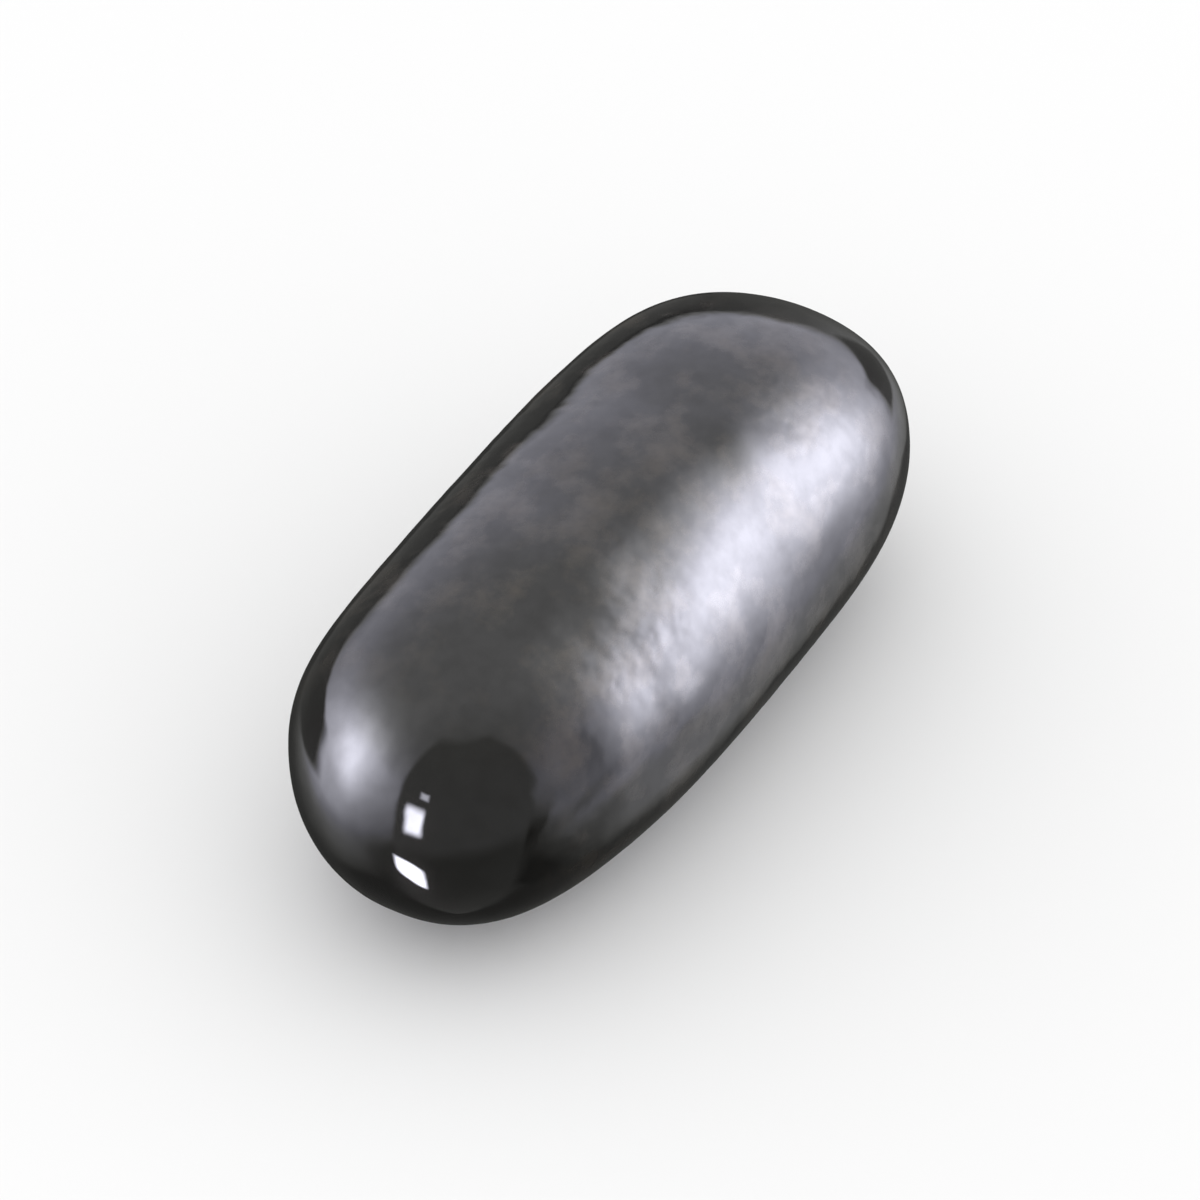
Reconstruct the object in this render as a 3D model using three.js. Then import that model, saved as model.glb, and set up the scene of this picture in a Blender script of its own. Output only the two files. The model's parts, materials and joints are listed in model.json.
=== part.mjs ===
// A chocolate dragee: one long sweet, rounded and coated by tumbling, that lies on its side.
// Millimetres, +Z up. +X runs along the length to the far end, and +Y points at the straighter flank.
// The origin is on the surface that the dragee rests on, below the middle of its box.

import * as THREE from 'three';
import { mergeVertices } from 'three/addons/utils/BufferGeometryUtils.js';

// Overall size
const LENGTH = 36;
const WIDTH = 15.45;
const HEIGHT = 14.2; // from the resting spot to the top

// Bluntness: 2 gives an ellipse, and a higher number a squarer form
const NEAR_BLUNTNESS = 4.1; // outline along the length, towards -X
const FAR_BLUNTNESS = 4.9; // outline along the length, towards +X
const FLANK_BLUNTNESS = 2; // more than that on the +Y flank, and less on the -Y flank
const SECTION_BLUNTNESS = 2.25; // outline across the length

// How the body departs from an even one
const TAPER = -0.01; // growth of the section from the middle to the far end, as a share
const BOW = 0.87; // how far the middle lies to +Y of both ends
const SWAY = 0.69; // how far the near half drifts to -Y, and the far half to +Y

// The resting spot, a small flat on the underside
const FLAT_DEPTH = 0.4; // how much of the round section it takes off
const FLAT_BLEND = 0.16; // height over which it rounds into the body

// Low swells where the coat has built up. A swell is centred at a length from the middle and at
// an angle round the length, where 0 is +Y, 90 the top and 180 is -Y.
const SWELLS = [
  { name: 'belly', along: 0, around: 195, reach: 8, rise: 0.2 },
  { name: 'near shoulder', along: -12, around: 0, reach: 7, rise: 0.32 },
  { name: 'underside', along: 0, around: 270, reach: 8, rise: 0.3 },
];

// Steps of the mesh along the body and across it
const STEPS_ALONG = 34;
const STEPS_ACROSS = 20;

const COCOA_BLACK = '#1d1715';

// The unit direction in which a point of a cube's surface, from -1 to 1, is seen from the middle.
// The tangents keep the steps even, so that no part of the body has much larger faces.
function directionOf(cubePoint) {
  const spread = (share) => Math.tan((share * Math.PI) / 4);
  return new THREE.Vector3(spread(cubePoint.x), spread(cubePoint.y), spread(cubePoint.z)).normalize();
}

// The direction of a swell's centre
function swellCentre({ along, around }) {
  const x = along / (LENGTH / 2);
  const radius = Math.sqrt(1 - x * x);
  const angle = THREE.MathUtils.degToRad(around);
  return new THREE.Vector3(x, radius * Math.cos(angle), radius * Math.sin(angle));
}

// By how much the section grows in a direction
function fullness(direction) {
  return SWELLS.reduce((sum, swell) => {
    const distance = (direction.distanceTo(swellCentre(swell)) * LENGTH) / 2;
    return sum + (swell.rise / (WIDTH / 2)) * Math.exp(-((distance / swell.reach) ** 2));
  }, 1 + TAPER * direction.x);
}

// The larger of a height and 0, with the corner between the two rounded off over FLAT_BLEND
function flattened(height) {
  const near = Math.max(FLAT_BLEND - Math.abs(height), 0) / FLAT_BLEND;
  return Math.max(height, 0) + (near ** 3 * FLAT_BLEND) / 6;
}

// The point of the surface that lies in a direction
function surfacePoint(direction) {
  const { x, y, z } = direction;
  const bluntness = (x < 0 ? NEAR_BLUNTNESS : FAR_BLUNTNESS) + FLANK_BLUNTNESS * y;
  const outline = Math.sqrt(Math.max(1 - Math.abs(x) ** bluntness, 0));
  const section = (Math.abs(y) ** SECTION_BLUNTNESS + Math.abs(z) ** SECTION_BLUNTNESS) ** (1 / SECTION_BLUNTNESS);
  const reach = section > 0 ? (outline * fullness(direction)) / section : 0;
  const sideways = BOW * (1 - x * x) + SWAY * (x - x ** 3);
  const roundHeight = HEIGHT + FLAT_DEPTH;
  return new THREE.Vector3(
    (LENGTH / 2) * x,
    (WIDTH / 2) * reach * y + sideways,
    flattened((roundHeight / 2) * (1 + reach * z) - FLAT_DEPTH),
  );
}

// The closed surface, made from a divided cube, so that it has no pole
function dragee() {
  const cube = new THREE.BoxGeometry(2, 2, 2, STEPS_ALONG, STEPS_ACROSS, STEPS_ACROSS);
  cube.deleteAttribute('normal');
  cube.deleteAttribute('uv');
  const geometry = mergeVertices(cube);
  const places = geometry.attributes.position;
  for (let i = 0; i < places.count; i += 1) {
    const point = surfacePoint(directionOf(new THREE.Vector3().fromBufferAttribute(places, i)));
    places.setXYZ(i, point.x, point.y, point.z);
  }
  geometry.computeBoundingBox();
  const middle = geometry.boundingBox.getCenter(new THREE.Vector3());
  geometry.translate(-middle.x, -middle.y, 0);
  geometry.computeVertexNormals();
  const coat = new THREE.MeshStandardMaterial({ color: COCOA_BLACK, roughness: 0.12, metalness: 0 });
  const mesh = new THREE.Mesh(geometry, coat);
  mesh.name = 'dragee';
  return mesh;
}

const sweet = new THREE.Group();
sweet.add(dragee());

export default sweet;
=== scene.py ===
# %% [markdown]
# # A glazed chocolate dragee
#
# A dragee is a sweet that was tumbled in a turning pan. Chocolate is poured over the centres
# a little at a time until the coat is thick and round, and a clear glaze makes it shine. This
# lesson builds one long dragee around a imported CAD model. The CAD model gives the size and the
# place, and everything here gives the looks: an uneven body, small flaws in the coat, a
# near-black chocolate under a clear glaze, and the soft studio that is seen in the glaze.

# %% Load the frame
import json
import math

import bmesh
import bpy
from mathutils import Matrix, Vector

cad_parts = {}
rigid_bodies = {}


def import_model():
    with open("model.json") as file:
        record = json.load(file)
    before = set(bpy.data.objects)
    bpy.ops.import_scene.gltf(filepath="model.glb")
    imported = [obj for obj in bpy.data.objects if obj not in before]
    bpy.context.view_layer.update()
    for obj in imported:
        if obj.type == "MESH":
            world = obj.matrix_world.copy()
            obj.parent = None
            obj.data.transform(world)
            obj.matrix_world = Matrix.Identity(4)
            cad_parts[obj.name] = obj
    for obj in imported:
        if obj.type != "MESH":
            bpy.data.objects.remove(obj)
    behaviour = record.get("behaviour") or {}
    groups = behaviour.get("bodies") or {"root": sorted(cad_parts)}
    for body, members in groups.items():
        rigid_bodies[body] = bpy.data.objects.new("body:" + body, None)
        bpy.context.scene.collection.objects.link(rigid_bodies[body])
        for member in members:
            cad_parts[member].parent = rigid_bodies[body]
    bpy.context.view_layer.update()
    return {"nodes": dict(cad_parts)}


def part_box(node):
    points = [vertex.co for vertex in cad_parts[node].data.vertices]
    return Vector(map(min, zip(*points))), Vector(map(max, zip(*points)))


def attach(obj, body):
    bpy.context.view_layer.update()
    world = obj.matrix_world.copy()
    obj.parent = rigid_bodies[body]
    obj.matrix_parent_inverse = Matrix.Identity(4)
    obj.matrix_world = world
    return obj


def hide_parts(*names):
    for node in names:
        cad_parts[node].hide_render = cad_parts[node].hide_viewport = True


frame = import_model()

MM = 0.001
low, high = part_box("dragee")
LENGTH, WIDTH, HEIGHT = (high - low) / MM
print("CAD nodes:", ", ".join(frame["nodes"]))
print(f"CAD box: {LENGTH:.2f} x {WIDTH:.2f} x {HEIGHT:.2f} mm")

# %% [markdown]
# ## One helper for every node
#
# Blender's materials, lights, world and Geometry Nodes are all trees of nodes. One function
# adds a node, sets it up, feeds its inputs and hands back one output, so that a formula reads
# from top to bottom. Inputs are fed by order, or by name where the order is hard to remember.

# %% Add a node
def add(tree, kind, feeds=(), out=0, **settings):
    """Adds a node of that kind to the tree and returns one of its outputs."""
    node = tree.nodes.new(kind)
    for name, value in settings.items():
        setattr(node, name, value)
    usable = [socket for socket in node.inputs if socket.enabled]
    if isinstance(feeds, dict):
        first = {socket.name: socket for socket in reversed(usable)}
        pairs = [(first[name], value) for name, value in feeds.items()]
    else:
        pairs = zip(usable, feeds)
    for socket, value in pairs:
        if isinstance(value, bpy.types.NodeSocket):
            tree.links.new(value, socket)
        else:
            socket.default_value = value
    if isinstance(out, str):
        return node.outputs[out]
    shown = [socket for socket in node.outputs if socket.enabled]
    return shown[out] if shown else None


# %% [markdown]
# Colours are picked as sRGB hex values, because that is how a colour is read from a screen.
# Blender works in linear light, so one function turns them.

# %% Turn a colour to linear
def linear(hex_colour):
    """An sRGB hex colour, such as "#1d1715", as linear RGBA."""
    shares = [int(hex_colour[at : at + 2], 16) / 255 for at in (1, 3, 5)]
    return (*[s / 12.92 if s <= 0.04045 else ((s + 0.055) / 1.055) ** 2.4 for s in shares], 1.0)


print(f"half way up the hex scale, #808080, is {linear('#808080')[0]:.3f} in linear light")

# %% [markdown]
# ## The body as a rule
#
# The body is a blunt finger. It could be sculpted, but its form follows a rule, so Geometry
# Nodes work it out: a finely divided cube is turned into unit directions, and a formula gives
# the point of the surface in each direction. A cube has no pole, so the glaze shows no pinch.
#
# A number called bluntness sets how square an outline is. At 2 it is an ellipse. The two ends
# are between 4 and 5, and the section across is only a little over 2. The far end is the
# blunter one, and one flank is straighter than the other.

# %% The numbers of the body, with its lengths in millimetres
FORM = {
    "Length": LENGTH,
    "Width": 15.45,
    "Height": 14.2,
    "Near bluntness": 4.1,
    "Far bluntness": 4.9,
    "Flank bluntness": 2.0,
    "Section bluntness": 2.25,
    "Taper": -0.01,
    "Bow": 0.87,
    "Sway": 0.69,
    "Flat depth": 0.4,
    "Flat blend": 0.16,
}
# Name: (place along the length, angle round it with 0 at +Y and 90 on top, reach, rise)
SWELLS = {
    "Belly": (0, 195, 8, 0.2),
    "Near shoulder": (-12, 0, 7, 0.32),
    "Underside": (0, 270, 8, 0.3),
}
# Points along the cube's edges: enough for the ripples, and under 200,000 triangles in all
STEPS_ALONG, STEPS_ACROSS = 164, 108
print(f"body: {len(FORM)} numbers and {len(SWELLS)} swells")

# %% [markdown]
# ## What tumbling leaves behind
#
# The coat builds up in thin pours, so it is never quite even. Low rises and hollows a few
# millimetres wide bend the edges of every reflection. Fine ripples break them up, and are
# taller in rough spots, where one sweet stuck to another for a moment. Here and there a bubble
# leaves a pit or a grain of cocoa leaves a pimple. All of this is real relief in the mesh.

# %% The numbers of the relief, with its lengths in millimetres
RELIEF = {
    "Wave length": 6.5,
    "Wave height": 0.05,
    "Ripple length": 1.5,
    "Ripple height": 0.013,
    "Rough ripples": 2.5,
    "Flaw spacing": 1.0,
    "Flaw share": 0.1,
    "Flaw radius": 0.4,
    "Flaw height": 0.016,
    "Foot height": 0.7,
}
# Name: (place along the length, angle round it, reach, rise)
RISES = {
    "Top rise": (0.5, 105, 3.9, 0.25),
    "Far top hollow": (14, 77, 3.7, -0.3),
    "Near flank rise": (-9.2, 157, 2.6, 0.25),
    "Near top hollow": (-8.7, 113, 5.3, -0.25),
    "Flank hollow": (4.2, 151, 4.1, -0.25),
    "Small far rise": (5.5, 117, 1.7, 0.19),
    "Small near rise": (-5, 105, 2.5, 0.24),
    "Small top hollow": (-1.2, 74, 2.7, -0.15),
    "Back hollow": (5.2, 69, 3, -0.24),
    "Far back hollow": (11, 71, 3.1, -0.15),
    "Small near flank rise": (-5.2, 164, 1.6, 0.15),
    "Small far flank rise": (5.6, 153, 2.2, 0.13),
    "Far flank rise": (12.2, 188, 4.7, 0.18),
    "Far shoulder hollow": (13.5, 141, 4.3, -0.22),
}
# Name: (place along the length, angle round it, reach)
ROUGH_SPOTS = {
    "Near the top": (-5.4, 134, 3.5),
    "Far shoulder": (8.6, 126, 2.5),
    "Back": (2, 20, 4),
    "Far end": (15, 250, 3),
}
SEED = 7
print(f"relief: {len(RISES)} rises and hollows, and {len(ROUGH_SPOTS)} rough spots")

# %% [markdown]
# A tree of nodes works like a function. Its sizes come in by name, so that the same tree can
# grow another sweet from other numbers, and its seed is fixed, so that each run is the same.

# %% Open a tree with named inputs
def open_tree(name, numbers, wholes):
    """A Geometry Nodes tree with a named input for each number, and those inputs by name."""
    tree = bpy.data.node_groups.new(name, "GeometryNodeTree")
    tree.interface.new_socket("Geometry", in_out="OUTPUT", socket_type="NodeSocketGeometry")
    for label in numbers:
        tree.interface.new_socket(label, in_out="INPUT", socket_type="NodeSocketFloat")
    for label in wholes:
        tree.interface.new_socket(label, in_out="INPUT", socket_type="NodeSocketInt")
    given = tree.nodes.new("NodeGroupInput")
    return tree, {label: given.outputs[label] for label in (*numbers, *wholes)}


heights = {f"{name} height": rise for name, (*_, rise) in {**SWELLS, **RISES}.items()}
NUMBERS = {**FORM, **heights, **RELIEF}
WHOLES = {"Steps along": STEPS_ALONG, "Steps across": STEPS_ACROSS, "Seed": SEED}
tree, given = open_tree("Dragee", NUMBERS, WHOLES)
print("named inputs:", len(NUMBERS) + len(WHOLES))

# %% [markdown]
# The cube's points run from -1 to 1. Each coordinate is taken as an angle of up to 45 degrees
# and turned to its tangent, and then the length is made 1. That keeps the steps even: without
# it, faces near the corners would be much smaller.

# %% From a cube to directions
# The kinds of node that the formulas use over and over
MATH, VECTOR = "ShaderNodeMath", "ShaderNodeVectorMath"
MIX, RANGE = "ShaderNodeMix", "ShaderNodeMapRange"
SPLIT, NOISE = "ShaderNodeSeparateXYZ", "ShaderNodeTexNoise"


def so_far(tree, what):
    """Prints how large the tree is, now that this is in it."""
    print(f"{what}: {len(tree.nodes)} nodes so far")


cube_sizes = {
    "Size": (2, 2, 2),
    "Vertices X": given["Steps along"],
    "Vertices Y": given["Steps across"],
    "Vertices Z": given["Steps across"],
}
cube = add(tree, "GeometryNodeMeshCube", cube_sizes)
place = add(tree, "GeometryNodeInputPosition")
turned = add(tree, VECTOR, {"Vector": place, "Scale": math.pi / 4}, operation="SCALE")
spread = add(tree, VECTOR, [turned], operation="TANGENT")
direction = add(tree, VECTOR, [spread], operation="NORMALIZE")
x, y, z = [add(tree, SPLIT, [direction], out=axis) for axis in "XYZ"]
so_far(tree, "directions")

# %% [markdown]
# Along the length, the outline's half width is the square root of 1 - |x| ^ bluntness. Across
# it, dividing by (|y|^n + |z|^n) ^ (1/n) turns a circle into a slightly square round.

# %% The outline along the length
far = add(tree, MATH, [x, 0.0], operation="GREATER_THAN")
end_bluntness = add(tree, MIX, [far, given["Near bluntness"], given["Far bluntness"]])
bluntness = add(tree, MATH, [y, given["Flank bluntness"], end_bluntness], operation="MULTIPLY_ADD")
x_size = add(tree, MATH, [x], operation="ABSOLUTE")
x_power = add(tree, MATH, [x_size, bluntness], operation="POWER")
x_left = add(tree, MATH, [1.0, x_power], operation="SUBTRACT")
outline = add(tree, MATH, [x_left], operation="SQRT")
so_far(tree, "outline")

# %% The section across the length
section_sum = None
for side in (y, z):
    side_size = add(tree, MATH, [side], operation="ABSOLUTE")
    side_power = add(tree, MATH, [side_size, given["Section bluntness"]], operation="POWER")
    section_sum = side_power if section_sum is None else add(tree, MATH, [section_sum, side_power])
root = add(tree, MATH, [1.0, given["Section bluntness"]], operation="DIVIDE")
section = add(tree, MATH, [section_sum, root], operation="POWER")
so_far(tree, "section")

# %% [markdown]
# A swell is a low rise where the coat is thicker. It fades with the distance from its centre
# like a bell, so it never shows an edge.

# %% The swells
def facing(along, around):
    """The unit direction of a place along the length and an angle round it."""
    ahead = along / (LENGTH / 2)
    radius = math.sqrt(1 - ahead**2)
    angle = math.radians(around)
    return (ahead, radius * math.cos(angle), radius * math.sin(angle))


def bell(where, centre, reach):
    """A number that is 1 at the centre and falls to 0 with the distance from it."""
    apart = add(tree, VECTOR, [where, centre], out="Value", operation="DISTANCE")
    share = add(tree, MATH, [apart, 1 / reach], operation="MULTIPLY")
    square = add(tree, MATH, [share, share], operation="MULTIPLY")
    fall = add(tree, MATH, [square, -1.0], operation="MULTIPLY")
    return add(tree, MATH, [fall], operation="EXPONENT")


fullness = add(tree, MATH, [x, given["Taper"], 1.0], operation="MULTIPLY_ADD")
half_width = add(tree, MATH, [given["Width"], 0.5], operation="MULTIPLY")
for name, (along, around, reach, _) in SWELLS.items():
    closeness = bell(direction, facing(along, around), reach / (LENGTH / 2))
    rise_share = add(tree, MATH, [given[f"{name} height"], half_width], operation="DIVIDE")
    fullness = add(tree, MATH, [closeness, rise_share, fullness], operation="MULTIPLY_ADD")
so_far(tree, "swells")

# %% [markdown]
# The middle line isn't straight either: it bows to one side and sways a little.

# %% The point of the surface in each direction
full_outline = add(tree, MATH, [outline, fullness], operation="MULTIPLY")
skin_reach = add(tree, MATH, [full_outline, section], operation="DIVIDE")
x_square = add(tree, MATH, [x, x], operation="MULTIPLY")
bow_share = add(tree, MATH, [1.0, x_square], operation="SUBTRACT")
sway_share = add(tree, MATH, [x, bow_share], operation="MULTIPLY")
bowed = add(tree, MATH, [bow_share, given["Bow"]], operation="MULTIPLY")
sideways = add(tree, MATH, [sway_share, given["Sway"], bowed], operation="MULTIPLY_ADD")

half_length = add(tree, MATH, [given["Length"], 0.5], operation="MULTIPLY")
x_place = add(tree, MATH, [x, half_length], operation="MULTIPLY")
y_reach = add(tree, MATH, [skin_reach, y], operation="MULTIPLY")
y_place = add(tree, MATH, [y_reach, half_width, sideways], operation="MULTIPLY_ADD")
so_far(tree, "length, width and middle line")

# %% [markdown]
# The underside is pressed flat where the sweet rests. A smooth maximum does it: it takes the
# larger of the height and 0, and rounds off the corner between them.

# %% The resting spot
round_height = add(tree, MATH, [given["Height"], given["Flat depth"]])
half_height = add(tree, MATH, [round_height, 0.5], operation="MULTIPLY")
z_reach = add(tree, MATH, [skin_reach, z, 1.0], operation="MULTIPLY_ADD")
z_round = add(tree, MATH, [z_reach, half_height], operation="MULTIPLY")
z_raw = add(tree, MATH, [z_round, given["Flat depth"]], operation="SUBTRACT")
z_place = add(tree, MATH, [z_raw, 0.0, given["Flat blend"]], operation="SMOOTH_MAX")
point = add(tree, "ShaderNodeCombineXYZ", [x_place, y_place, z_place])
smooth_body = add(tree, "GeometryNodeSetPosition", {"Geometry": cube, "Position": point})
so_far(tree, "height and resting spot")

# %% [markdown]
# The finer mesh touches a little further out than the CAD model's flat faces do. Mapping its
# own box onto the CAD box makes the two agree to the micrometre.

# %% Fit the body into the CAD box
own_low = add(tree, "GeometryNodeBoundBox", [smooth_body], out="Min")
own_high = add(tree, "GeometryNodeBoundBox", [smooth_body], out="Max")
fit = {
    "Vector": place,
    "From Min": own_low,
    "From Max": own_high,
    "To Min": tuple(low / MM),
    "To Max": tuple(high / MM),
}
fitted_place = add(tree, RANGE, fit, data_type="FLOAT_VECTOR")
fitted = add(tree, "GeometryNodeSetPosition", {"Geometry": smooth_body, "Position": fitted_place})
so_far(tree, "fit")

# %% [markdown]
# ## The relief
#
# Each kind of relief is a height in millimetres, and the heights are added up. First come the
# low rises and hollows. Their places are on the skin, at a length and an angle.

# %% Rises and hollows
# These places need only be about right, so one bluntness stands for both ends
SKIN_BLUNTNESS = 4.5


def on_skin(along, around):
    """About the point of the skin at a place along the length and an angle round it."""
    share = math.sqrt(1 - abs(along / (LENGTH / 2)) ** SKIN_BLUNTNESS)
    angle = math.radians(around)
    return (along, WIDTH / 2 * share * math.cos(angle), HEIGHT / 2 * (1 + share * math.sin(angle)))


relief = None
for name, (along, around, reach, _) in RISES.items():
    closeness = bell(place, on_skin(along, around), reach)
    rise = add(tree, MATH, [closeness, given[f"{name} height"]], operation="MULTIPLY")
    relief = rise if relief is None else add(tree, MATH, [relief, rise])
so_far(tree, "rises and hollows")

# %% Rough spots
rough = None
for along, around, reach in ROUGH_SPOTS.values():
    closeness = bell(place, on_skin(along, around), reach)
    rough = closeness if rough is None else add(tree, MATH, [rough, closeness])
rougher = add(tree, MATH, [rough, given["Rough ripples"], 1.0], operation="MULTIPLY_ADD")
so_far(tree, "rough spots")

# %% [markdown]
# Noise gives the waves and the ripples. It is worked out in millimetres too, so one over a
# wave's length is the noise's scale.

# %% Waves and ripples
# Noise runs from 0 to 1 about this middle
NOISE_MIDDLE = 0.5
# How tall each finer layer of the noise is beside the one before it
FINER_LAYERS = 0.45
for kind, layers, taller in (("Wave", 1.0, 1.0), ("Ripple", 2.0, rougher)):
    scale = add(tree, MATH, [1.0, given[f"{kind} length"]], operation="DIVIDE")
    noise = {"Vector": place, "Scale": scale, "Detail": layers, "Roughness": FINER_LAYERS}
    level = add(tree, NOISE, noise)
    swing = add(tree, MATH, [level, -NOISE_MIDDLE])
    swing = add(tree, MATH, [swing, taller], operation="MULTIPLY")
    tallness = add(tree, MATH, [given[f"{kind} height"], 1 / NOISE_MIDDLE], operation="MULTIPLY")
    relief = add(tree, MATH, [swing, tallness, relief], operation="MULTIPLY_ADD")
so_far(tree, "waves and ripples")

# %% [markdown]
# Pits and pimples are scattered over the skin, no two closer than a set spacing, and more of
# them in the rough spots. Each point of the mesh looks up the flaw that is nearest to it. A
# random number for each flaw makes it a pit, below zero, or a pimple.

# %% Scatter pits and pimples
# Flaws on a square millimetre, before their share and their spacing thin them out
DENSEST = 1.0
crowding = add(tree, MATH, [rough, 1.0, given["Flaw share"]], operation="MULTIPLY_ADD")
scatter = {
    "Mesh": fitted,
    "Distance Min": given["Flaw spacing"],
    "Density Max": DENSEST,
    "Density Factor": crowding,
    "Seed": given["Seed"],
}
flaws = add(tree, "GeometryNodeDistributePointsOnFaces", scatter, distribute_method="POISSON")
nearest = add(tree, "GeometryNodeSampleNearest", [flaws], domain="POINT")
away = add(
    tree, "GeometryNodeProximity", {"Geometry": flaws}, out="Distance", target_element="POINTS"
)
so_far(tree, "scattered flaws")

# %% Give each flaw its own size and height
# The smallest and the largest share that a flaw may have of the full radius and height
RADIUS_SHARES = (0.45, 1.0)
HEIGHT_SHARES = (-1.0, 0.7)
# The power that draws each flaw from a cone into a point on a wide foot
FLAW_SHARPNESS = 2.0


def drawn(lowest, highest, seed):
    """A random number of the nearest flaw."""
    number = add(tree, "FunctionNodeRandomValue", {"Min": lowest, "Max": highest, "Seed": seed})
    of_nearest = {"Geometry": flaws, "Value": number, "Index": nearest}
    return add(tree, "GeometryNodeSampleIndex", of_nearest)


radius_share = drawn(*RADIUS_SHARES, SEED)
height_share = drawn(*HEIGHT_SHARES, SEED + 1)
flaw_radius = add(tree, MATH, [given["Flaw radius"], radius_share], operation="MULTIPLY")
flaw_height = add(tree, MATH, [given["Flaw height"], height_share], operation="MULTIPLY")
from_rim = {"Value": away, "From Min": 0.0, "From Max": flaw_radius, "To Min": 1.0, "To Max": 0.0}
cone = add(tree, RANGE, from_rim)
flaw = add(tree, MATH, [cone, FLAW_SHARPNESS], operation="POWER")
relief = add(tree, MATH, [flaw, flaw_height, relief], operation="MULTIPLY_ADD")
so_far(tree, "pits and pimples")

# %% [markdown]
# The relief fades out towards the resting spot, which stays flat. Then the tree leaves
# millimetres for Blender's metres, realizes whatever is an instance and sets the material.

# %% Push the skin out by the relief
place_up = add(tree, SPLIT, [place], out="Z")
above_foot = {"Value": place_up, "From Min": 0.0, "From Max": given["Foot height"]}
fade = add(tree, RANGE, above_foot, interpolation_type="SMOOTHSTEP")
push = add(tree, MATH, [relief, fade], operation="MULTIPLY")
outwards = add(tree, "GeometryNodeInputNormal")
offset = add(tree, VECTOR, {"Vector": outwards, "Scale": push}, operation="SCALE")
uneven = add(tree, "GeometryNodeSetPosition", {"Geometry": fitted, "Offset": offset})
in_metres = add(tree, "GeometryNodeTransform", {"Geometry": uneven, "Scale": (MM, MM, MM)})
rounded = add(tree, "GeometryNodeSetShadeSmooth", [in_metres])
so_far(tree, "skin")

# %% [markdown]
# ## The finish: panned dark chocolate under a confectioner's glaze
#
# The glaze is shellac, a clear resin with an IOR near 1.5, polished to a hard shine. It gives
# the eye sharp, small reflections that lie over everything, and it hides the chocolate's own
# dull skin. What is left of the chocolate is its colour: so dark that it looks black. In the
# Principled shader the glaze is the coat, and the chocolate is the base below it.

# %% Start the material
finish = bpy.data.materials.new("Dark chocolate, panned and glazed")
finish.use_nodes = True
shade = finish.node_tree
shade.nodes.clear()
object_place = add(shade, "ShaderNodeTexCoord", out="Object")
in_mm = add(shade, VECTOR, {"Vector": object_place, "Scale": 1 / MM}, operation="SCALE")
print("material:", finish.name)

# %% [markdown]
# Four noises give the patterns, each with the size in millimetres of what it stands for. Real
# cocoa grains are about 0.02 mm, too fine to show, so they are drawn as coarse as they have to
# be. The orange peel is the slight dimpling with which a tumbled glaze dries.

# %% Lay out the patterns
# Name: (size in mm, layers of noise, strength of each finer layer beside the one before it)
PATTERNS = {
    "Mottle": (2.4, 5.0, 0.6),
    "Thinning": (0.9, 3.0, 0.5),
    "Grain": (0.35, 2.0, 0.5),
    "Orange peel": (0.3, 1.0, 0.5),
}
pattern = {}
for name, (size, layers, finer) in PATTERNS.items():
    noise = {"Vector": in_mm, "Scale": 1 / size, "Detail": layers, "Roughness": finer}
    pattern[name] = add(shade, NOISE, noise)
    print(f"{name}: {size} mm")

# %% [markdown]
# Chocolate and shellac have nearly the same IOR, so hardly any light is reflected where they
# meet, and the base's specular level is low. It is higher in cloudy patches, where the glaze
# lifted a little, and there the chocolate adds a blurred reflection with a brown cast. The
# ends were rubbed the most in the pan, so they have no such patches.

# %% Cloudy patches in the chocolate
COCOA_BLACK = linear("#0f0f0e")
COCOA_BROWN = linear("#1d1710")
# A patch sets in between these levels of the mottle
PATCH_FROM, PATCH_FULL = 0.47, 0.68
# Patches fade out between these distances from the middle of the length
RUBBED_FROM_MM, RUBBED_FULL_MM = 11.0, 15.0
# The base's specular level below a tight glaze and below a lifted one
TIGHT, LIFTED = 0.03, 0.2

along_length = add(shade, VECTOR, [in_mm, (1, 0, 0)], out="Value", operation="DOT_PRODUCT")
from_middle = {
    "Value": add(shade, MATH, [along_length], operation="ABSOLUTE"),
    "From Min": RUBBED_FROM_MM,
    "From Max": RUBBED_FULL_MM,
    "To Min": 1.0,
    "To Max": 0.0,
}
unrubbed = add(shade, RANGE, from_middle)
mottle_levels = {"Value": pattern["Mottle"], "From Min": PATCH_FROM, "From Max": PATCH_FULL}
patches = add(shade, RANGE, mottle_levels)
cloudy = add(shade, MATH, [patches, unrubbed], operation="MULTIPLY")
colours = {"Factor": cloudy, "A": COCOA_BLACK, "B": COCOA_BROWN}
colour = add(shade, MIX, colours, data_type="RGBA")
specular_level = add(shade, RANGE, {"Value": cloudy, "To Min": TIGHT, "To Max": LIFTED})
so_far(shade, "cloudy patches")

# %% [markdown]
# The glaze is also a little thinner here and there, and its shine is weaker by as much. The
# chocolate below it is dull and slightly grainy, and both follow the dimples of the peel.

# %% Thinned glaze, grain and orange peel
# The glaze thins between these levels of its pattern, down to this share of its shine
THIN_FROM, THIN_FULL, THINNEST = 0.4, 0.68, 0.88
SMOOTHEST, DULLEST = 0.34, 0.5
PEEL_DEPTH = 0.0006 * MM

thinned = {
    "Value": pattern["Thinning"],
    "From Min": THIN_FROM,
    "From Max": THIN_FULL,
    "To Min": 1.0,
    "To Max": THINNEST,
}
coat_weight = add(shade, RANGE, thinned)
roughness = add(
    shade, RANGE, {"Value": pattern["Grain"], "To Min": SMOOTHEST, "To Max": DULLEST}
)
peel = {"Strength": 1.0, "Distance": PEEL_DEPTH, "Height": pattern["Orange peel"]}
dimpled = add(shade, "ShaderNodeBump", peel)
so_far(shade, "glaze, grain and peel")

# %% [markdown]
# The Principled shader takes all of this. One glaze covers everything, so its IOR and its
# polish are plain numbers, and so is the pale tint of the blur in the cloudy patches.

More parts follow.
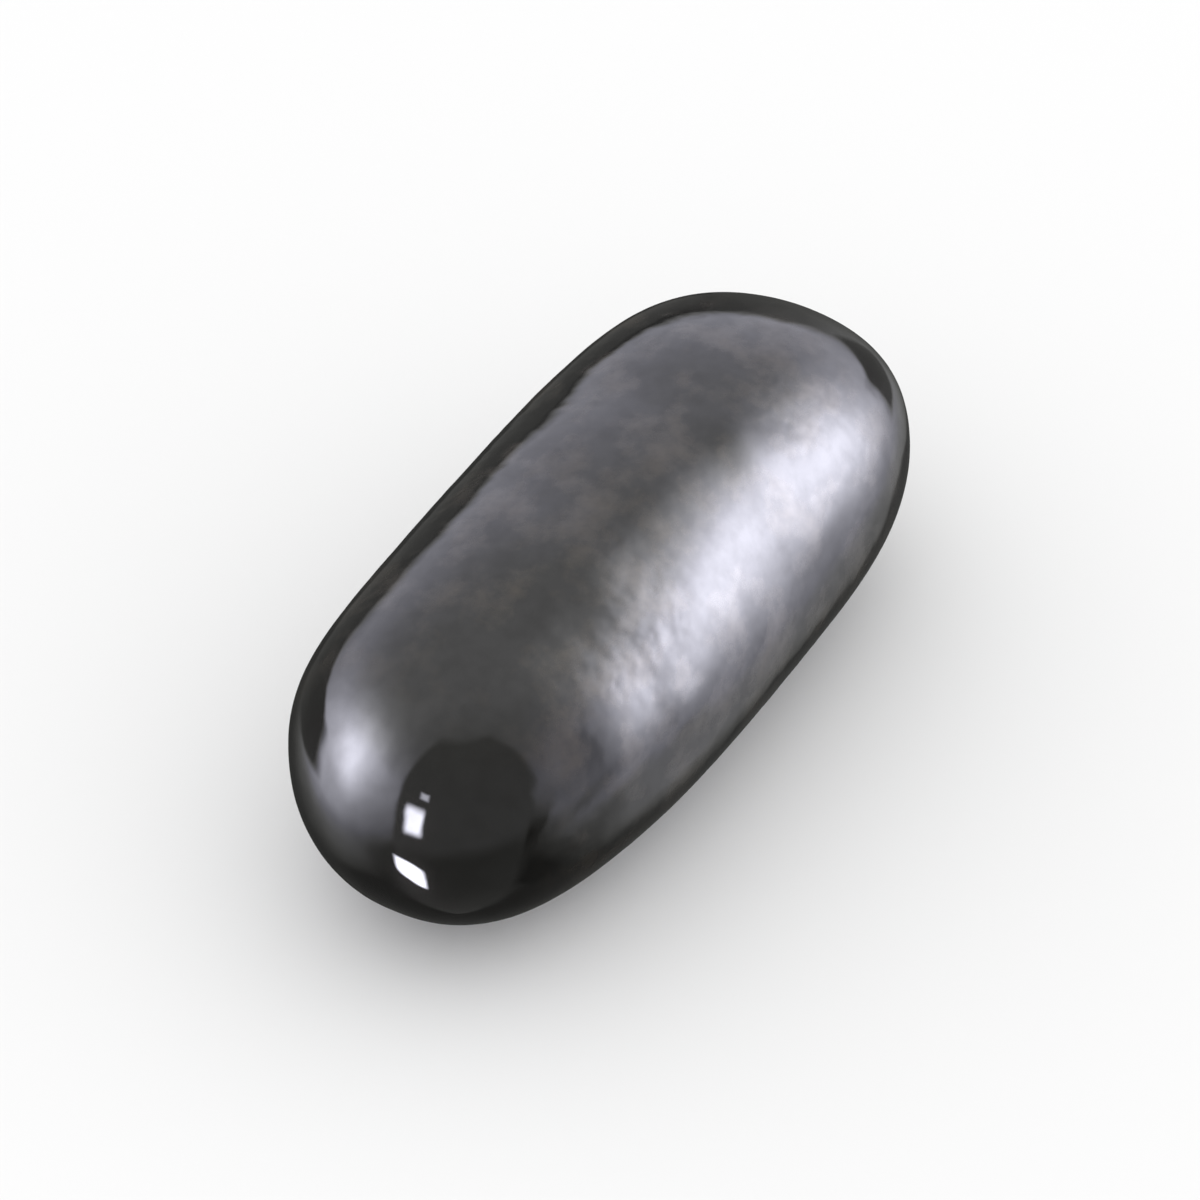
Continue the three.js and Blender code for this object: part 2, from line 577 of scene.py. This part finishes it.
# %% Put the surface together
CLOUD_TINT = linear("#fff0d2")
SHELLAC_IOR = 1.5
POLISHED = 0.03
surface = {
    "Base Color": colour,
    "Roughness": roughness,
    "Specular IOR Level": specular_level,
    "Specular Tint": CLOUD_TINT,
    "IOR": SHELLAC_IOR,
    "Normal": dimpled,
    "Coat Weight": coat_weight,
    "Coat Roughness": POLISHED,
    "Coat IOR": SHELLAC_IOR,
    "Coat Normal": dimpled,
}
shader = add(shade, "ShaderNodeBsdfPrincipled", surface)
add(shade, "ShaderNodeOutputMaterial", [shader])
so_far(shade, "surface")

# %% [markdown]
# ## From the tree to a plain mesh
#
# The modifier's inputs are set before the object is first evaluated, by each socket's own
# identifier. The evaluated result is then copied into a plain mesh, and the modifier goes.

# %% Close the tree
realized = add(tree, "GeometryNodeRealizeInstances", [rounded])
dressed = add(tree, "GeometryNodeSetMaterial", {"Geometry": realized, "Material": finish})
add(tree, "NodeGroupOutput", [dressed])
so_far(tree, "whole dragee")

# %% Make the dragee
def grow(name, tree, values):
    """Runs a tree with these values and returns its result as an object with a plain mesh."""
    seedling = bpy.data.objects.new(name, bpy.data.meshes.new(name))
    bpy.context.scene.collection.objects.link(seedling)
    modifier = seedling.modifiers.new("Form", "NODES")
    modifier.node_group = tree
    for socket in tree.interface.items_tree:
        if socket.in_out == "INPUT":
            modifier[socket.identifier] = values[socket.name]
    evaluated = seedling.evaluated_get(bpy.context.evaluated_depsgraph_get())
    mesh = bpy.data.meshes.new_from_object(evaluated)
    seedling.modifiers.remove(modifier)
    seedling.data = mesh
    return seedling


dragee = grow("glazed_dragee", tree, {**NUMBERS, **WHOLES})
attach(dragee, "root")
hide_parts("dragee")
print("triangles:", sum(len(face.vertices) - 2 for face in dragee.data.polygons))
for axis, places in zip("XYZ", zip(*[vertex.co for vertex in dragee.data.vertices])):
    print(f"dressed size on {axis}: {(max(places) - min(places)) / MM:.2f} mm")

# %% [markdown]
# ## The camera
#
# The camera looks down at 43 degrees, past the near end and along the straighter flank, with
# a long lens, as in the photograph. Angles round the sweet are counted from here on as the
# camera sees them: 0 is the camera's own side, 90 is to its right and 180 is behind.

# %% Place the camera
CAMERA_AZIMUTH, CAMERA_ELEVATION = -57.1, 43.0
CAMERA_DISTANCE = 0.6
# What the picture spans at the sweet
FRAME_WIDTH = 50 * MM
SENSOR = 36.0
middle = (low + high) / 2


def towards(azimuth, elevation):
    """The unit vector from the sweet to something at those angles, in degrees."""
    a, e = math.radians(azimuth), math.radians(elevation)
    return Vector((math.sin(a) * math.cos(e), -math.cos(a) * math.cos(e), math.sin(e)))


def aimed(name, data, azimuth, elevation, distance):
    """Places a lamp or a camera round the sweet, looking at it."""
    thing = bpy.data.objects.new(name, data)
    back = towards(azimuth, elevation)
    thing.location = middle + back * distance
    thing.rotation_euler = back.to_track_quat("Z", "Y").to_euler()
    bpy.context.scene.collection.objects.link(thing)
    return thing


lens = bpy.data.cameras.new("Camera")
lens.sensor_width = SENSOR
lens.lens = SENSOR * CAMERA_DISTANCE / FRAME_WIDTH
bpy.context.scene.camera = aimed("Camera", lens, CAMERA_AZIMUTH, CAMERA_ELEVATION, CAMERA_DISTANCE)
print(f"lens: {lens.lens:.0f} mm")

# %% [markdown]
# ## The floor
#
# A plain pale sheet stands in for the photograph's plain ground. The glaze doesn't mirror it,
# because the sweet's lower rim is dark in the photograph: it mirrors a dark ground.

# %% Lay the floor
FLOOR_RADIUS = 4.0
PAPER_WHITE = 0.8
floor_mesh = bpy.data.meshes.new("Floor")
sheet = bmesh.new()
bmesh.ops.create_circle(sheet, cap_ends=True, segments=96, radius=FLOOR_RADIUS)
sheet.to_mesh(floor_mesh)
sheet.free()
floor = bpy.data.objects.new("Floor", floor_mesh)
bpy.context.scene.collection.objects.link(floor)
floor.visible_glossy = False

paper = bpy.data.materials.new("Matte paper")
paper.use_nodes = True
paper.node_tree.nodes.clear()
matte = {"Base Color": (*[PAPER_WHITE] * 3, 1.0), "Roughness": 0.9, "Specular IOR Level": 0.0}
paper_shader = add(paper.node_tree, "ShaderNodeBsdfPrincipled", matte)
add(paper.node_tree, "ShaderNodeOutputMaterial", [paper_shader])
floor_mesh.materials.append(paper)
print(f"floor: {2 * FLOOR_RADIUS:.0f} m across")

# %% [markdown]
# ## The room
#
# A glossy black thing shows nothing but its surroundings, so the room is as much a part of
# the looks as the material. It could be built from lamps and boards. Here it is painted on
# the world, in degrees round the sweet, because then the place and the softness of each
# reflection is a number. Azimuth 0 is the camera's side, and elevation 0 is the horizon.

# %% Find each direction's azimuth and elevation
room = bpy.data.worlds.new("Room")
bpy.context.scene.world = room
room.use_nodes = True
sky = room.node_tree
sky.nodes.clear()
looking = add(sky, "ShaderNodeTexCoord", out="Generated")


def share_towards(azimuth, elevation):
    """How much of each direction points at those angles."""
    there = towards(azimuth, elevation)
    return add(sky, VECTOR, [looking, there], out="Value", operation="DOT_PRODUCT")


def in_degrees(operation, *shares):
    """The angle that those shares stand for."""
    radians = add(sky, MATH, shares, operation=operation)
    return add(sky, MATH, [radians], operation="DEGREES")


to_right, to_front = share_towards(CAMERA_AZIMUTH + 90, 0), share_towards(CAMERA_AZIMUTH, 0)
azimuth = in_degrees("ARCTAN2", to_right, to_front)
elevation = in_degrees("ARCSINE", share_towards(0, 90))
so_far(sky, "angles")

# %% [markdown]
# The walls are a little brighter than the ceiling. The ground is dark, which draws the dark
# rims of the sweet, and it rises behind. The horizon is crisp in front and behind, and soft at
# the sides.

# %% Paint the ground, the walls and the ceiling
GROUND, WALLS, CEILING = 0.045, 1.8, 1.46
# By how many degrees the ground rises behind the sweet
GROUND_RISE = 13.5
# Where the horizon starts and ends, in degrees over the ground, in front and behind
HORIZON = (-9.5, -3.5)
# How much further down and up it reaches at the sides
HORIZON_SPREAD = (-44.0, 46.0)
# The higher this is, the nearer to the sides the horizon starts to spread
SPREAD_POWER = 3.0
# Where the wall turns into the ceiling, in degrees
WALL_TOP = (16.0, 65.0)

over_ground = in_degrees("ARCSINE", share_towards(CAMERA_AZIMUTH, 90 - GROUND_RISE))
sideways_share = add(sky, MATH, [to_right], operation="ABSOLUTE")
spread_share = add(sky, MATH, [sideways_share, SPREAD_POWER], operation="POWER")
horizon_from, horizon_to = [
    add(sky, MATH, [spread_share, further, at], operation="MULTIPLY_ADD")
    for further, at in zip(HORIZON_SPREAD, HORIZON)
]
horizon = {"Value": over_ground, "From Min": horizon_from, "From Max": horizon_to}
over_horizon = add(sky, RANGE, horizon, interpolation_type="SMOOTHSTEP")
wall_top = {"Value": elevation, "From Min": WALL_TOP[0], "From Max": WALL_TOP[1]}
over_wall = add(sky, RANGE, wall_top, interpolation_type="SMOOTHSTEP")
upper_part = add(sky, MIX, [over_wall, WALLS, CEILING])
strength = add(sky, MIX, [over_horizon, GROUND, upper_part])
so_far(sky, "ground, walls and ceiling")

# %% [markdown]
# Two large softboxes stand left and right. Each is a bell of light, brightest in the middle,
# so that the streaks in the glaze have soft edges. A second bell widens each one, and the
# table throws some of the light back up. The camera's side gets a bell below zero, a shade.

# %% The soft lights
# Name: (azimuth, elevation, reach sideways, reach up and down, brightness)
SOFT_LIGHTS = {
    "Left softbox": (-89, 7, 31, 33, 6.3),
    "Left softbox core": (-79, 23, 20, 18, 7.4),
    "Left strip": (-81, 9, 9.5, 16, 8.0),
    "Left table glow": (-100, -22, 15, 11, 1.2),
    "Right softbox": (103, 13.8, 15.4, 24, 14.4),
    "Right spill": (102.7, 0, 39, 31, 3.7),
    "Right upper light": (123, 38, 17, 18, 3.0),
    "Right table glow": (84, -35, 20, 8, 0.9),
    "Right table edge": (110, -47, 13, 5, 0.4),
    "Shade": (12, 2, 59, 54, -2.2),
}
print("soft lights:", ", ".join(SOFT_LIGHTS))

# %% [markdown]
# A bell falls off as e ^ -(sideways^2 + upwards^2). A board has the same rule with a higher
# power, which squares its outline, so one helper serves both.

# %% Paint the soft lights
BELL_POWER = 2.0


def outness(centre_azimuth, centre_elevation, reach_sideways, reach_upwards, power, slant=0.0):
    """How far each direction is out of a rounded field, where 1 is its edge, to that power."""
    sideways = add(sky, MATH, [azimuth, -centre_azimuth])
    upwards = add(sky, MATH, [elevation, -centre_elevation])
    if slant:
        upwards = add(sky, MATH, [sideways, slant, upwards], operation="MULTIPLY_ADD")
    total = None
    for apart, reach in ((sideways, reach_sideways), (upwards, reach_upwards)):
        share = add(sky, MATH, [apart, reach], operation="DIVIDE")
        size = add(sky, MATH, [share], operation="ABSOLUTE")
        raised = add(sky, MATH, [size, power], operation="POWER")
        total = raised if total is None else add(sky, MATH, [total, raised])
    return total


for *field, brightness in SOFT_LIGHTS.values():
    fall = add(sky, MATH, [outness(*field, BELL_POWER), -1.0], operation="MULTIPLY")
    glow = add(sky, MATH, [fall], operation="EXPONENT")
    strength = add(sky, MATH, [glow, brightness, strength], operation="MULTIPLY_ADD")
so_far(sky, "soft lights")

# %% [markdown]
# Boards have crisper edges and rounded corners, and stand in front of what was painted so
# far. The camera's side of the room is dark, and shows as a dark patch on the near end. Last
# come small bright lamps beside the camera, which give the glints on the near end. The lower
# one hangs at a slant.

# %% The boards and the lamps
# Name: (azimuth, elevation, half width, half height, share that is a soft edge, brightness)
BOARDS = {
    "Grey board": (67.9, 0, 4.3, 28, 0.9, 1.6),
    "Dark left corner": (-142, -12.3, 38, 14, 0.3, 0.15),
    "Dark right corner": (143.6, -10, 13.5, 11, 0.4, 0.18),
    "Dark far floor": (158, -45, 22, 8, 0.3, 0.08),
    "Near floor": (0, -90, 400, 35, 0.2, 0.07),
    "Dark side": (3.5, -30, 52.3, 97, 0.08, 0.55),
    "Dark table edge": (4, -60, 62, 37, 0.45, 0.23),
    "Upper lamp": (-34.5, 4, 7.3, 10.8, 0.7, 29),
    "Small lamp over it": (-30, 26, 3.8, 2.6, 1.2, 10),
    "Lower lamp": (-38, -41.5, 12, 7.3, 0.45, 29),
}
# By how much a board sinks towards its right side, in degrees for each degree
SLANTS = {"Lower lamp": 0.4}
print("boards and lamps:", ", ".join(BOARDS))

# %% Put up the boards and the lamps
CORNER_POWER = 6.0
for name, (*field, soft, brightness) in BOARDS.items():
    out_of_board = outness(*field, CORNER_POWER, SLANTS.get(name, 0.0))
    to_edge = add(sky, MATH, [out_of_board, 1 / CORNER_POWER], operation="POWER")
    edge = {"Value": to_edge, "From Min": 1 + soft / 2, "From Max": 1 - soft / 2}
    inside = add(sky, RANGE, edge, interpolation_type="SMOOTHSTEP")
    strength = add(sky, MIX, [inside, strength, brightness])
strength = add(sky, MATH, [strength, GROUND], operation="MAXIMUM")
so_far(sky, "boards and lamps")

# %% [markdown]
# The bright parts of the room are faintly lavender, the ceiling less so, and the dark parts
# faintly olive. Only the glaze mirrors all this. The floor and the chocolate get the light of
# a plain white dome, so that the floor has one even tone and a soft shadow, and the camera
# sees a backdrop in the floor's own tone.

# %% Show the room to the glaze alone
DOME = 1.25
DARK_TINT, BRIGHT_TINT, WHITE = linear("#fffffb"), linear("#f0f0ff"), linear("#ffffff")
# The brightness at which the lavender sets in, and at which it is full
TINT_FROM, TINT_FULL = 0.2, 1.4
# The degrees between which it fades to the ceiling's share of it
FADE_FROM, FADE_FULL, CEILING_TINT = 25.0, 60.0, 0.35

bright = add(sky, RANGE, {"Value": strength, "From Min": TINT_FROM, "From Max": TINT_FULL})
upwards_fade = {
    "Value": elevation,
    "From Min": FADE_FROM,
    "From Max": FADE_FULL,
    "To Min": 1.0,
    "To Max": CEILING_TINT,
}
low_down = add(sky, RANGE, upwards_fade)
tint_share = add(sky, MATH, [bright, low_down], operation="MULTIPLY")
tints = {"Factor": tint_share, "A": DARK_TINT, "B": BRIGHT_TINT}
tint = add(sky, MIX, tints, data_type="RGBA")
painted = add(sky, "ShaderNodeBackground", [tint, strength])

to_camera = add(sky, "ShaderNodeLightPath", out="Is Camera Ray")
in_glaze = add(sky, "ShaderNodeLightPath", out="Is Glossy Ray")
plain_strength = add(sky, MIX, [to_camera, DOME, DOME * PAPER_WHITE])
plain = add(sky, "ShaderNodeBackground", [WHITE, plain_strength])
shown = add(sky, "ShaderNodeMixShader", [in_glaze, plain, painted])
add(sky, "ShaderNodeOutputWorld", [shown])
so_far(sky, "whole room")

# %% [markdown]
# ## Finish
#
# The picture is shown as it is, with no film look, so that colours can be compared.

# %% Finish
bpy.context.scene.view_settings.view_transform = "Standard"
